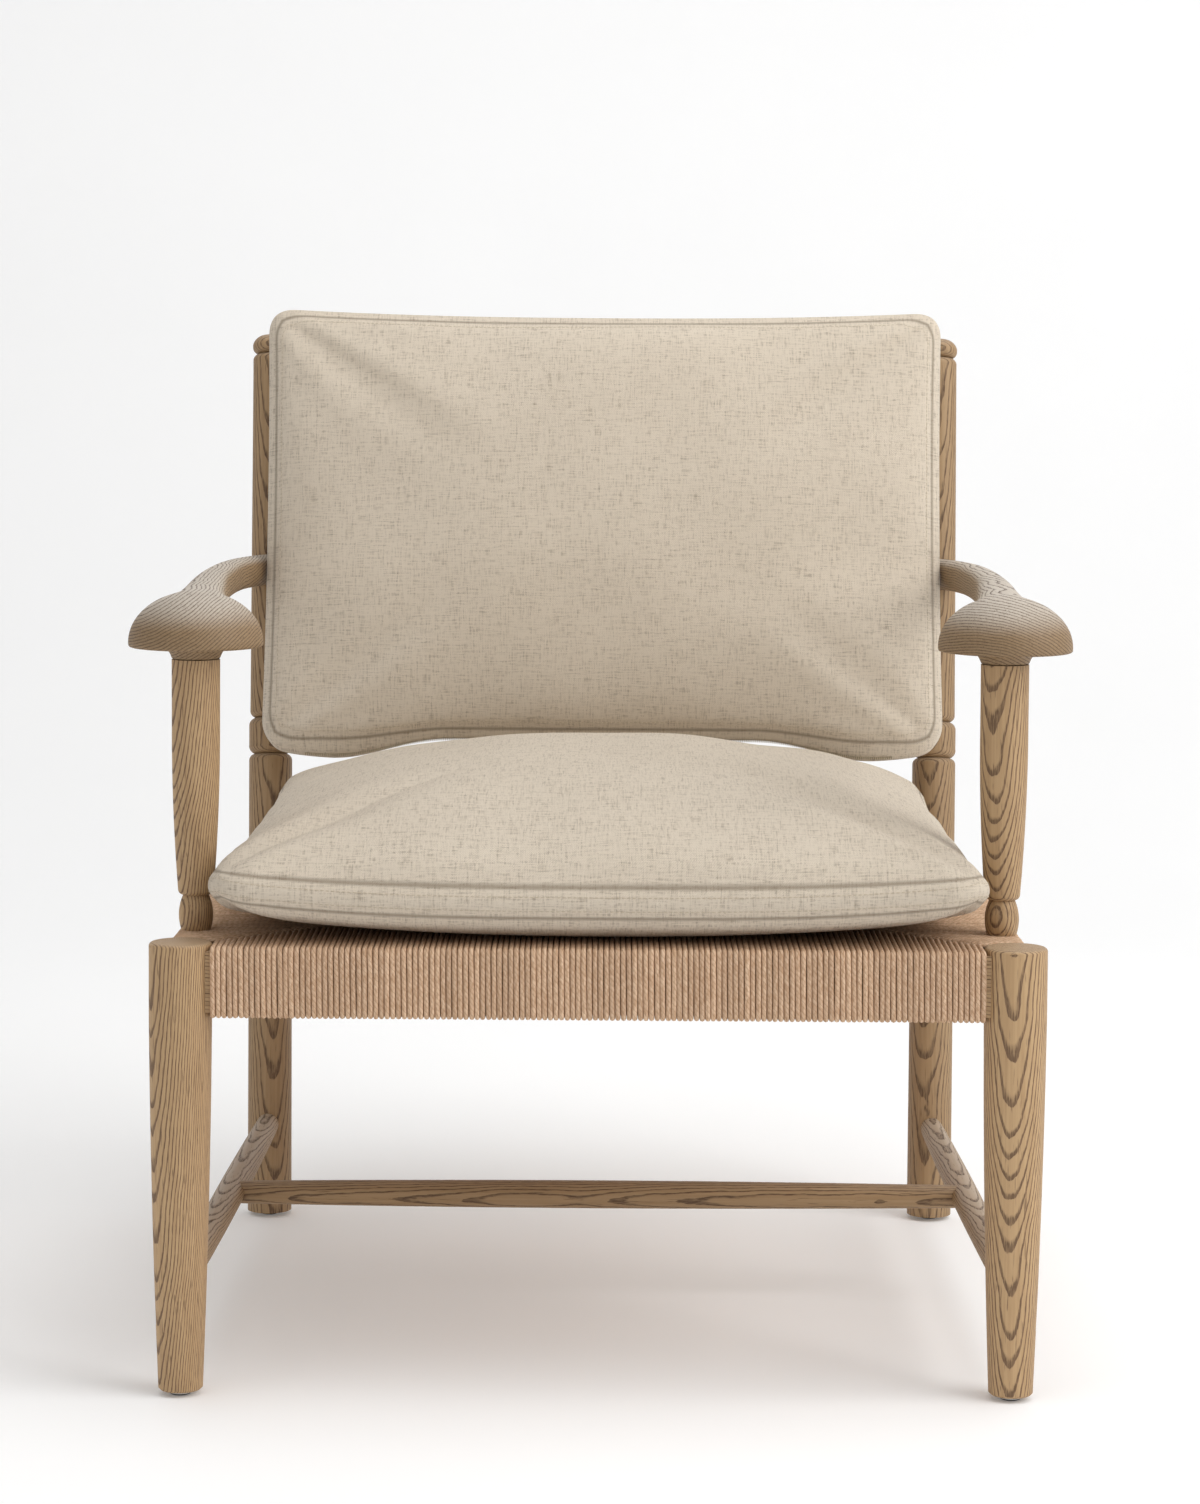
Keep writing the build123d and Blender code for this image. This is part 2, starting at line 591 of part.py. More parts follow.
def main():
    nodes = build()
    box = Compound([shape for shape in nodes.values()]).bounding_box()
    centre = Pos(0, -(box.min.Y + box.max.Y) / 2, 0)
    os.makedirs("parts", exist_ok=True)
    for name, shape in nodes.items():
        export_step(centre * shape, "parts/" + name + ".step")
    print("box", box.size, "moved by", centre.position)


main()
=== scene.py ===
"""Looks of the wooden armchair: grained ash, paper cord and two flecked linen cushions.

Metres, in the part's own frame: +Z up, the chair faces -Y, the origin is on the floor below
the middle of its box. Every position comes from the CAD nodes.
"""

import math
import random

import bpy
import numpy as np
from mathutils import Euler, Matrix, Vector


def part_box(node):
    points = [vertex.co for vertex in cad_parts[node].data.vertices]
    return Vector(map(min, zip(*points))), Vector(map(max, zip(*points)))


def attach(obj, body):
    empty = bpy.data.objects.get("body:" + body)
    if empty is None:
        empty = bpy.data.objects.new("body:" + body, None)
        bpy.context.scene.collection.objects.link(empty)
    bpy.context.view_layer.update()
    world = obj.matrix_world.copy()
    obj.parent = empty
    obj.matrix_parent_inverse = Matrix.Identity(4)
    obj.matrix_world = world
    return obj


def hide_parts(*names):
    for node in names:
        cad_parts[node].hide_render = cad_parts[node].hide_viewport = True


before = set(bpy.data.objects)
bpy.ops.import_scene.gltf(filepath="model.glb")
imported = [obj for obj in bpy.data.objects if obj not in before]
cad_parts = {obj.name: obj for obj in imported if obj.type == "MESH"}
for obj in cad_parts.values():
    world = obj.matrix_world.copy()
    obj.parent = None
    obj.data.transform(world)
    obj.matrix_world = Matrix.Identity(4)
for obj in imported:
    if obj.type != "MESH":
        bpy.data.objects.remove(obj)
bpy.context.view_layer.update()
scene = bpy.context.scene
scene.view_settings.view_transform = "Standard"
MM = 0.001


# ------------------------------------------------------------------ places read from the frame
def middle(node):
    low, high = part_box(node)
    return (low + high) / 2


def side_name(side):
    return "left" if side < 0 else "right"


LEG_AXIS = middle("front_leg_right")          # the front legs stand upright
LEG_RADIUS = (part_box("front_leg_right")[1].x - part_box("front_leg_right")[0].x) / 2
FRONT_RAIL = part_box("front_seat_rail")
REAR_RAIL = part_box("rear_seat_rail")
SIDE_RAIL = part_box("side_seat_rail_right")
SEAT_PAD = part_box("seat_cushion_cover")
BACK_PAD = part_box("back_cushion_cover")
ARM_POST = middle("arm_post_right")
POST_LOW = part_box("rear_post_right")[0]


# ------------------------------------------------------------------ material graphs
class Graph:
    """A node material with short calls for the nodes that it is made of."""

    def __init__(self, name):
        self.material = bpy.data.materials.new(name)
        self.material.use_nodes = True
        self.tree = self.material.node_tree
        self.shader = self.tree.nodes["Principled BSDF"]

    def plug(self, socket, value):
        if isinstance(value, bpy.types.NodeSocket):
            self.tree.links.new(value, socket)
        elif value is not None:
            socket.default_value = value

    def add(self, kind, inputs=(), **settings):
        node = self.tree.nodes.new("ShaderNode" + kind)
        for key, value in settings.items():
            setattr(node, key, value)
        for key, value in dict(inputs).items():
            self.plug(node.inputs[key], value)
        return node

    def math(self, operation, a, b=None, c=None, clamp=False):
        node = self.add("Math", operation=operation, use_clamp=clamp)
        for socket, value in zip(node.inputs, (a, b, c)):
            self.plug(socket, value)
        return node.outputs[0]

    def scaled(self, value, low, high):
        """Moves a 0-1 value to low-high."""
        return self.math("MULTIPLY_ADD", value, high - low, low)

    def step(self, value, low, high):
        """0 below low, 1 above high, smooth between them."""
        node = self.add("MapRange", {"Value": value, "From Min": low, "From Max": high},
                        interpolation_type="SMOOTHSTEP")
        return node.outputs["Result"]

    def vector(self, operation, a, b=None, scale=None):
        node = self.add("VectorMath", operation=operation)
        self.plug(node.inputs[0], a)
        if b is not None:
            self.plug(node.inputs[1], b)
        if scale is not None:
            self.plug(node.inputs["Scale"], scale)
        return node.outputs[0]

    def noise(self, vector, scale=1.0, detail=3.0, roughness=0.5):
        node = self.add("TexNoise", {"Vector": vector, "Scale": scale, "Detail": detail,
                                     "Roughness": roughness})
        return node.outputs["Fac"]

    def mix(self, factor, a, b):
        """Mix of two colours."""
        node = self.add("Mix", data_type="RGBA")
        self.plug(node.inputs["Factor"], factor)
        self.plug(node.inputs["A"], a)
        self.plug(node.inputs["B"], b)
        return node.outputs["Result"]

    def pick(self, factor, a, b):
        """Mix of two vectors."""
        node = self.add("Mix", data_type="VECTOR")
        self.plug(node.inputs["Factor"], factor)
        self.plug(node.inputs["A"], a)
        self.plug(node.inputs["B"], b)
        return node.outputs["Result"]

    def xyz(self, vector):
        return self.add("SeparateXYZ", {"Vector": vector}).outputs

    def join(self, x, y, z):
        node = self.add("CombineXYZ")
        for socket, value in zip(node.inputs, (x, y, z)):
            self.plug(socket, value)
        return node.outputs[0]

    def ramp(self, factor, first, last):
        """Colour ramp between two stops, each a position and a colour."""
        node = self.add("ValToRGB", {"Fac": factor})
        for element, (position, colour) in zip(node.color_ramp.elements, (first, last)):
            element.position = position
            element.color = rgba(colour)
        return node.outputs["Color"]

    def bump(self, height, strength, distance):
        node = self.add("Bump", {"Height": height, "Strength": strength, "Distance": distance})
        return node.outputs["Normal"]

    def finish(self, **sockets):
        """Plugs the shader's sockets, with _ for a space in their names."""
        for key, value in sockets.items():
            self.plug(self.shader.inputs[key.replace("_", " ")], value)
        return self.material


def rgba(colour):
    return (*colour, 1.0) if len(colour) == 3 else colour


def toned(colour, factor):
    return tuple(c * factor for c in colour)


def object_space(graph):
    return graph.add("TexCoord").outputs["Object"]


ASH_LIGHT = (0.525, 0.350, 0.185)
ASH_MID = (0.425, 0.268, 0.132)
ASH_DARK = (0.115, 0.062, 0.032)
# pale grey of the painted sheen on faces that look up
ASH_PAINTED_SHEEN = (0.62, 0.57, 0.50)


def member_frame(centre, direction, face):
    """Location and rotation of a member's own axes: w along it and v towards face."""
    w = Vector(direction).normalized()
    v = Vector(face)
    v = (v - w * v.dot(w)).normalized()
    u = v.cross(w)
    axes = Matrix((u, v, w)).transposed()
    return tuple(centre), tuple(axes.to_euler())


def ash(name, centre, direction, seed, face=(0, -1, 0), pith=(-0.055, -0.03), slope=0.05,
        ring=2.0, top_sheen=0.15, shade=1.0, contrast=1.0):
    """Open-grained ash round one member's own axis.

    pith is where the tree's axis lies beside the member's, as (u, v) in metres: the grain
    runs tangent on the far side from it, where slope, the growth of the rings along the
    member, draws its V and U figures. ring is a year's growth in mm. The argument after ring
    is painted sheen: the share of pale grey mixed into faces which look up, a painted
    highlight of the light from above. shade darkens or lightens the wood as a whole: it sets
    each piece's tone, and its low values on the rear posts and stretchers are painted shade
    under the seat. contrast strengthens the lines of its pores.
    """
    g = Graph(name)
    location, rotation = member_frame(centre, direction, face)
    place = g.add("Mapping", {"Vector": object_space(g), "Location": location,
                              "Rotation": rotation}, vector_type="TEXTURE").outputs[0]
    u, v, w = g.xyz(place)

    # the rings: whole numbers of year lie between one year's growth and the next
    wander = g.noise(g.join(g.math("MULTIPLY", u, 9.0), g.math("MULTIPLY", v, 9.0),
                            g.math("MULTIPLY_ADD", w, 6.0, seed * 3.7)), detail=2.0)
    shiver = g.noise(g.join(g.math("MULTIPLY", u, 70.0), g.math("MULTIPLY", v, 70.0),
                            g.math("MULTIPLY_ADD", w, 34.0, seed)), detail=2.0)
    across = g.math("SUBTRACT", u, pith[0])
    deep = g.math("SUBTRACT", v, pith[1])
    radius = g.math("SQRT", g.math("ADD", g.math("POWER", across, 2.0),
                                   g.math("POWER", deep, 2.0)))
    year = g.math("MULTIPLY", g.math("MULTIPLY_ADD", w, slope, radius), 1000.0 / ring)
    year = g.math("ADD", year, g.scaled(wander, -2.4, 2.4))
    year = g.math("ADD", year, g.scaled(shiver, -0.40, 0.40))
    phase = g.math("FRACT", year)

    # each year starts with a band of open pores
    early = g.math("MULTIPLY", g.step(phase, 0.0, 0.06),
                   g.math("SUBTRACT", 1.0, g.step(phase, 0.14, 0.42)))
    fibre_space = g.join(g.math("MULTIPLY", u, 1500.0), g.math("MULTIPLY", v, 1500.0),
                         g.math("MULTIPLY_ADD", w, 90.0, seed))
    pores = g.step(g.noise(fibre_space, detail=2.0, roughness=0.6), 0.44, 0.58)
    streaks = g.noise(g.join(g.math("MULTIPLY", u, 420.0), g.math("MULTIPLY", v, 420.0),
                             g.math("MULTIPLY_ADD", w, 9.0, seed)), detail=3.0)
    patches = g.noise(g.join(g.math("MULTIPLY", u, 14.0), g.math("MULTIPLY", v, 14.0),
                             g.math("MULTIPLY_ADD", w, 7.0, seed + 5.0)), detail=2.0)
    year_tone = g.noise(g.join(g.math("FLOOR", year), seed, 0.0), scale=1.0, detail=0.0)

    line = g.math("MULTIPLY", early, g.scaled(pores, 0.40, 1.0))
    loose_pores = g.math("MULTIPLY", g.step(g.noise(fibre_space, scale=0.55, detail=1.0),
                                            0.64, 0.74), 0.40)
    line = g.math("MAXIMUM", line, loose_pores)
    line = g.math("MULTIPLY", line, g.scaled(year_tone, 0.45 * contrast, 1.5 * contrast),
                  clamp=True)

    light, mid, dark = (toned(c, shade) for c in (ASH_LIGHT, ASH_MID, ASH_DARK))
    body = g.mix(g.step(streaks, 0.28, 0.74), rgba(mid), rgba(light))
    body = g.mix(g.scaled(patches, 0.0, 0.5), body, rgba(toned(mid, 0.80)))
    # painted sheen: faces that look up are mixed towards pale grey, a painted highlight of the
    # light from above
    up = g.xyz(g.add("NewGeometry").outputs["Normal"])[2]
    painted_sheen = g.math("MULTIPLY", g.step(up, 0.35, 0.98), top_sheen)
    painted_sheen = g.math("MULTIPLY", painted_sheen, g.scaled(streaks, 0.7, 1.3))
    body = g.mix(painted_sheen, body, rgba(ASH_PAINTED_SHEEN))
    colour = g.mix(g.math("MULTIPLY", line, 0.90), body, rgba(dark))
    height = g.math("SUBTRACT", g.math("MULTIPLY", streaks, 0.25), line)
    normal = g.bump(height, 0.6, 0.00040)
    rough = g.scaled(g.math("ADD", g.math("MULTIPLY", line, 0.5),
                            g.math("MULTIPLY", streaks, 0.5)), 0.50, 0.78)
    return g.finish(Base_Color=colour, Roughness=rough, Normal=normal)


LINEN_SHADED = (0.400, 0.322, 0.240)
LINEN_PALE = (0.790, 0.690, 0.560)
LINEN_CLOUD = (0.60, 0.50, 0.375)
FLECK_DARK = (0.27, 0.185, 0.105)
FLECK_PALE = (0.95, 0.88, 0.76)
SEAM_DARK = (0.20, 0.145, 0.09)
THREAD_PITCH = 0.92 * MM


def linen(name, lean=0.0, shade=1.0, seed=0.0):
    """Plain-woven linen with slubs and flecks; lean turns its threads to a tilted cushion.

    The threads are laid out in the plane that each face looks along, and the mesh attribute
    seam darkens the sewn edges.
    """
    g = Graph(name)
    turn = (lean, 0.0, 0.0)
    place = g.add("Mapping", {"Vector": object_space(g), "Rotation": turn},
                  vector_type="TEXTURE").outputs[0]
    facing = g.add("Mapping", {"Vector": g.add("TexCoord").outputs["Normal"], "Rotation": turn},
                   vector_type="TEXTURE").outputs[0]
    x, y, z = g.xyz(place)
    nx, ny, nz = (g.math("ABSOLUTE", n) for n in g.xyz(facing))
    level = g.math("GREATER_THAN", nz, g.math("MAXIMUM", nx, ny))
    sideways = g.math("GREATER_THAN", nx, g.math("MAXIMUM", nz, ny))
    cloth = g.pick(level, g.join(x, z, 0.0), g.join(x, y, 0.1))
    cloth = g.pick(sideways, cloth, g.join(y, z, 0.2))
    drift = g.noise(cloth, scale=55.0, detail=2.0)
    u, v, side = g.xyz(cloth)
    u_turns = g.math("ADD", g.math("MULTIPLY", u, 1 / THREAD_PITCH), g.scaled(drift, -1.6, 1.6))
    v_turns = g.math("ADD", g.math("MULTIPLY", v, 1 / THREAD_PITCH), g.scaled(drift, 1.4, -1.4))
    warp = g.math("SINE", g.math("MULTIPLY", u_turns, math.pi))
    weft = g.math("SINE", g.math("MULTIPLY", v_turns, math.pi))
    over = g.step(g.math("MULTIPLY", warp, weft), -0.12, 0.12)
    weave = g.math("ADD", g.math("MULTIPLY", g.math("ABSOLUTE", warp), over),
                   g.math("MULTIPLY", g.math("ABSOLUTE", weft),
                          g.math("SUBTRACT", 1.0, over)))

    def threads(long, thin, offset, detail=2.0):
        """Noise drawn out along both thread directions."""
        lying = g.noise(g.join(g.math("MULTIPLY", u, long), g.math("MULTIPLY", v, thin),
                               g.math("ADD", side, offset + seed)), detail=detail)
        standing = g.noise(g.join(g.math("MULTIPLY", u, thin), g.math("MULTIPLY", v, long),
                                  g.math("ADD", side, offset + seed + 9.0)), detail=detail)
        return lying, standing

    lying, standing = threads(110.0, 820.0, 0.0)
    long_lying, long_standing = threads(34.0, 520.0, 3.0)
    fleck_a, fleck_b = threads(400.0, 900.0, 6.0, detail=1.0)
    tone = g.math("ADD", g.math("MULTIPLY", g.math("ADD", lying, standing), 0.55),
                  g.math("MULTIPLY", g.math("ADD", long_lying, long_standing), 0.45))
    # painted shade: the low parts of the weave, between the threads, are darkened
    tone = g.math("ADD", tone, g.math("MULTIPLY_ADD", weave, 0.20, -0.12))
    base = g.ramp(tone, (0.72, toned(LINEN_SHADED, shade)), (1.00, toned(LINEN_PALE, shade)))
    dark = g.math("MAXIMUM", g.step(fleck_a, 0.68, 0.76), g.step(fleck_b, 0.69, 0.77))
    pale = g.math("MAXIMUM", g.step(lying, 0.66, 0.80), g.step(standing, 0.66, 0.80))
    base = g.mix(g.math("MULTIPLY", dark, 0.42), base, rgba(FLECK_DARK))
    base = g.mix(g.math("MULTIPLY", pale, 0.30), base, rgba(FLECK_PALE))
    clouds = g.noise(place, scale=7.0, detail=3.0)
    base = g.mix(g.scaled(clouds, 0.0, 0.22), base,
                 rgba(toned(LINEN_CLOUD, shade)))
    seam = g.add("Attribute", attribute_name="seam").outputs["Fac"]
    base = g.mix(g.math("MULTIPLY", g.step(seam, 0.62, 1.0), 0.62), base,
                 rgba(SEAM_DARK))
    height = g.math("ADD", g.math("MULTIPLY", weave, 0.75), g.math("MULTIPLY", tone, 0.8))
    normal = g.bump(height, 0.80, 0.00055)
    g.shader.inputs["Sheen Weight"].default_value = 0.12
    g.shader.inputs["Sheen Roughness"].default_value = 0.55
    g.shader.inputs["Specular IOR Level"].default_value = 0.20
    return g.finish(Base_Color=base, Roughness=g.scaled(weave, 0.98, 0.86), Normal=normal)


CORD_LIGHT = (0.86, 0.64, 0.45)
CORD_MID = (0.52, 0.325, 0.195)
CORD_PATCH = (0.50, 0.31, 0.185)
# painted shade in the grooves between the twisted strands
CORD_GROOVE_SHADE = (0.30, 0.165, 0.085)
CORD_DARK = (0.20, 0.11, 0.06)
CORD_TWIST = 13 * MM                          # length of one full turn of the twist
CORD_STRANDS = 3


def paper_cord(name):
    """Twisted paper: uv.x runs along the cord in metres, uv.y once round it."""
    g = Graph(name)
    uv = g.add("TexCoord").outputs["UV"]
    s, round_it, _ = g.xyz(uv)
    tint = g.add("Attribute", attribute_name="cord_tint").outputs["Fac"]
    twist = g.math("MULTIPLY_ADD", s, 1 / CORD_TWIST, round_it)
    strand = g.math("ABSOLUTE", g.math("SINE", g.math("MULTIPLY", twist, CORD_STRANDS * math.pi)))
    folds = g.noise(g.join(g.math("MULTIPLY", s, 220.0), g.math("MULTIPLY", round_it, 9.0),
                           g.math("MULTIPLY", tint, 40.0)), detail=4.0, roughness=0.6)
    patches = g.noise(g.join(g.math("MULTIPLY", s, 26.0), g.math("MULTIPLY", tint, 60.0), 0.0),
                      detail=2.0)
    body = g.mix(g.step(folds, 0.30, 0.72), rgba(CORD_MID), rgba(CORD_LIGHT))
    body = g.mix(g.scaled(patches, 0.0, 0.40), body, rgba(CORD_PATCH))
    # painted shade: the grooves between the twisted strands are darkened
    groove_shade = g.math("SUBTRACT", 1.0, g.step(strand, 0.05, 0.40))
    body = g.mix(g.math("MULTIPLY", groove_shade, 0.55), body, rgba(CORD_GROOVE_SHADE))
    body = g.mix(g.step(tint, 0.0, 1.0), g.mix(0.22, body, rgba(CORD_DARK)), body)
    height = g.math("ADD", g.math("MULTIPLY", strand, 0.8), g.math("MULTIPLY", folds, 0.6))
    normal = g.bump(height, 0.7, 0.00045)
    g.shader.inputs["Specular IOR Level"].default_value = 0.30
    return g.finish(Base_Color=body, Roughness=g.scaled(folds, 0.88, 0.66), Normal=normal)


def thread(name):
    g = Graph(name)
    grain = g.noise(g.vector("SCALE", object_space(g), scale=2600.0), detail=2.0)
    base = g.mix(grain, rgba((0.42, 0.33, 0.22)), rgba((0.72, 0.62, 0.47)))
    return g.finish(Base_Color=base, Roughness=g.scaled(grain, 0.85, 0.65),
                    Normal=g.bump(grain, 0.4, 0.0002))


def plain_metal(name):
    g = Graph(name)
    scratch = g.noise(g.vector("MULTIPLY", object_space(g), (900.0, 900.0, 90.0)), detail=4.0)
    base = g.mix(scratch, rgba((0.42, 0.42, 0.41)), rgba((0.66, 0.66, 0.65)))
    g.shader.inputs["Metallic"].default_value = 1.0
    return g.finish(Base_Color=base, Roughness=g.scaled(scratch, 0.26, 0.46),
                    Normal=g.bump(scratch, 0.2, 0.0001))


def moulded(name, dark, light):
    g = Graph(name)
    grain = g.noise(object_space(g), scale=1400.0, detail=3.0)
    scuff = g.noise(object_space(g), scale=180.0, detail=4.0)
    base = g.mix(g.step(scuff, 0.45, 0.75), rgba(dark), rgba(light))
    return g.finish(Base_Color=base, Roughness=g.scaled(grain, 0.45, 0.70),
                    Normal=g.bump(grain, 0.3, 0.00015))


# ------------------------------------------------------------------ mesh helpers
def mesh_object(name, vertices, faces, material):
    mesh = bpy.data.meshes.new(name)
    mesh.from_pydata([tuple(v) for v in vertices], [], [tuple(f) for f in faces])
    mesh.materials.append(material)
    mesh.polygons.foreach_set("use_smooth", [True] * len(mesh.polygons))
    mesh.update()
    obj = bpy.data.objects.new(name, mesh)
    scene.collection.objects.link(obj)
    return obj


def points_of(mesh):
    flat = np.empty(len(mesh.vertices) * 3)
    mesh.vertices.foreach_get("co", flat)
    return flat.reshape(-1, 3)


def set_points(mesh, points):
    mesh.vertices.foreach_set("co", np.asarray(points, float).ravel())
    mesh.update()


def float_attribute(mesh, name, values):
    attribute = mesh.attributes.new(name, "FLOAT", "POINT")
    attribute.data.foreach_set("value", np.asarray(values, np.float32))


def only(obj):
    bpy.ops.object.select_all(action="DESELECT")
    obj.select_set(True)
    bpy.context.view_layer.objects.active = obj


def apply_all(obj):
    only(obj)
    for modifier in list(obj.modifiers):
        bpy.ops.object.modifier_apply(modifier=modifier.name)


WELD_GAP = 1e-6
ARRIS_ANGLE = math.radians(32)                # sharper edges than this keep a crisp arris


def dress(node, material):
    """Material and smooth shading of a CAD node that is shown."""
    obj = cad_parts[node]
    obj.data.materials.clear()
    obj.data.materials.append(material)
    weld = obj.modifiers.new("weld", "WELD")
    weld.merge_threshold = WELD_GAP
    obj.data.polygons.foreach_set("use_smooth", [True] * len(obj.data.polygons))
    split = obj.modifiers.new("arrises", "EDGE_SPLIT")
    split.split_angle = ARRIS_ANGLE


# ------------------------------------------------------------------ wooden frame
def dress_frame():
    upright = (0.0, 0.0, 1.0)
    lean = Vector((0.0, 0.176, 1.0))
    along_y, along_x = (0, 1, 0), (1, 0, 0)
    leg_pith = {-1: (-0.060, -0.030), 1: (-0.012, -0.062)}
    post_pith = {-1: (0.010, -0.050), 1: (-0.012, -0.050)}
    arm_post_pith = {-1: (-0.050, -0.016), 1: (-0.030, -0.050)}
    for index, side in enumerate((-1, 1)):
        name = side_name(side)
        seed = 3.0 + 11.0 * index
        woods = {
            "front_leg_": ash("ash_front_leg_" + name, middle("front_leg_" + name), upright,
                              seed, pith=leg_pith[side], slope=0.055, ring=1.9,
                              shade=1.10, contrast=1.8),
            # painted shade: the rear posts are darkened as a whole for the shade under and behind
            # the seat
            "rear_post_": ash("ash_rear_post_" + name, middle("rear_post_" + name), lean,
                              seed + 2, pith=post_pith[side], slope=0.060, ring=2.4,
                              shade=0.83, contrast=1.3),
            "arm_post_": ash("ash_arm_post_" + name, middle("arm_post_" + name), upright,
                             seed + 4, pith=arm_post_pith[side], slope=0.10, ring=2.3,
                             shade=1.06, contrast=1.7),
            # painted shade: the side stretchers are darkened for the shade under the seat, and
            # their top faces get more painted sheen
            "side_stretcher_": ash("ash_side_stretcher_" + name,
                                   middle("side_stretcher_" + name), along_y, seed + 5,
                                   face=(0, 0, 1), pith=(0.0, -0.04), slope=0.03, ring=1.8,
                                   shade=0.80, top_sheen=0.35, contrast=1.3),
            "side_seat_rail_": ash("ash_side_rail_" + name, middle("side_seat_rail_" + name),
                                   along_y, seed + 6, face=(0, 0, 1)),
        }
        for prefix, wood in woods.items():
            dress(prefix + name, wood)
    # painted shade: the cross stretcher is darkened for the shade under the seat
    dress("cross_stretcher", ash("ash_cross_stretcher", middle("cross_stretcher"), along_x,
                                 31.0, pith=(0.01, -0.035), slope=0.02, ring=2.0, shade=0.79,
                                 contrast=1.5))
    for index, name in enumerate(("lower", "middle", "upper")):
        dress("back_slat_" + name, ash("ash_slat_" + name, middle("back_slat_" + name),
                                       along_x, 41.0 + index, pith=(0.03, -0.09),
                                       slope=0.02, ring=2.6))
    rail_wood = ash("ash_cross_rails", (0, 0, 0), along_x, 51.0)
    dress("front_seat_rail", rail_wood)
    dress("rear_seat_rail", rail_wood)
    dress("arm_screw_plugs", ash("ash_plugs", middle("arm_screw_plugs"), (0, 1, 0), 61.0,
                                 pith=(0.004, 0.004), ring=1.4, shade=0.62))
    steel = plain_metal("zinc_plated_steel")
    dress("arm_screws", steel)
    dress("foot_glide_cups", steel)
    dress("foot_glide_nails", steel)
    dress("foot_glide_pads", moulded("black_nylon", (0.012, 0.012, 0.012), (0.05, 0.048, 0.045)))


ARM_PITH = {-1: (0.09, 0.13), 1: (0.03, -0.10)}
ARM_X, ARM_Z = 0.338, 0.61                    # middle of an arm rest
CARVE_VOXEL = 2.0 * MM
NECK_START = 52 * MM                          # where the neck leaves the dome, behind the post
NECK_SPREAD = 26 * MM
DOME_UNDERSIDE = 0.590


def smoothed(obj, name, factor, iterations, group=""):
    modifier = obj.modifiers.new(name, "SMOOTH")
    modifier.vertex_group = group
    modifier.factor = factor
    modifier.iterations = iterations


def dress_arms():
    """Each arm is remeshed finely, and the line where its neck meets the dome is eased."""
    for index, side in enumerate((-1, 1)):
        name = side_name(side)
        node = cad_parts["arm_" + name]
        mesh = node.data.copy()
        mesh.name = "carved_arm_" + name
        obj = bpy.data.objects.new("carved_arm_" + name, mesh)
        scene.collection.objects.link(obj)
        mesh.materials.clear()
        low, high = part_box("arm_" + name)
        weld = obj.modifiers.new("weld", "WELD")
        weld.merge_threshold = WELD_GAP
        remesh = obj.modifiers.new("remesh", "REMESH")
        remesh.mode = "VOXEL"
        remesh.voxel_size = CARVE_VOXEL
        remesh.use_smooth_shade = True
        apply_all(obj)
        points = points_of(obj.data)
        behind_post = points[:, 1] - ARM_POST.y
        blend = np.exp(-(((behind_post - NECK_START) / NECK_SPREAD) ** 2))
        blend *= (points[:, 2] > DOME_UNDERSIDE)
        group = obj.vertex_groups.new(name="ease")
        for i, weight in enumerate(blend):
            if weight > 0.02:
                group.add([i], float(weight), "REPLACE")
        smoothed(obj, "ease", 0.6, 40, group="ease")
        smoothed(obj, "fine", 0.5, 3)
        apply_all(obj)
        centre = Vector((side * ARM_X, (low.y + high.y) / 2, ARM_Z))
        # the arms' top faces carry strong painted sheen, a painted highlight of the light from
        # above
        material = ash("ash_arm_" + name, centre, (0.03 * side, 1, 0.0), 71.0 + 9 * index,
                       face=(0, 0, 1), pith=ARM_PITH[side], slope=0.02, ring=2.3, top_sheen=0.66,
                       shade=0.61, contrast=1.3)
        obj.data.materials.clear()
        obj.data.materials.append(material)
        obj.data.polygons.foreach_set("material_index", [0] * len(obj.data.polygons))
        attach(obj, "frame")
        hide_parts("arm_" + name)


# ------------------------------------------------------------------ paper-cord seat
CORD_R = 2.2 * MM
CORD_PITCH = 4.4 * MM
CORD_SIDES = 8
CORD_TURN = 2.2 * MM                          # radius of its turn round a rail's arris
DIVE = 6 * MM                                 # least length of a cord on the seat's top
POST_BACK = 54.5 * MM                         # from the rear post's front to the last cord
RAIL_DRIFT = 3.4 * MM / 0.68                  # the side rails close in towards the back
POST_GAP = 13 * MM                            # the cords part round the arm posts
POST_PUSH = 1.2 * MM


def wrap_path(inner, face, low, high):
    """Loop of a cord over a rail, as (distance, height) points.

    inner is where it dives into the seat's diagonal and face is the rail's outer face, both
    measured towards the outside of the chair.
    """
    r = CORD_R
    top, bottom, out = high + r, low - r, face + r
    turn = CORD_TURN
    flat = inner + 3 * r
    span = face - turn - flat
    height = top - bottom
    path = [(inner, top - 2.6 * r), (inner + 1.2 * r, top - 0.9 * r), (flat, top)]
    path += [(flat + span * k, top) for k in (0.35, 0.7, 1.0)]
    path += [(out - turn * 0.55, top - turn * 0.12), (out - turn * 0.12, top - turn * 0.55)]
    path += [(out, top - turn - 1 * MM), (out, top - height * 0.28), (out, (top + bottom) / 2),
             (out, bottom + height * 0.28), (out, bottom + turn + 1 * MM)]
    path += [(out - turn * 0.12, bottom + turn * 0.55), (out - turn * 0.55, bottom + turn * 0.12)]
    path += [(flat + span, bottom), (flat + span * 0.5, bottom), (flat, bottom),
             (inner, bottom + 2.2 * r)]
    return path


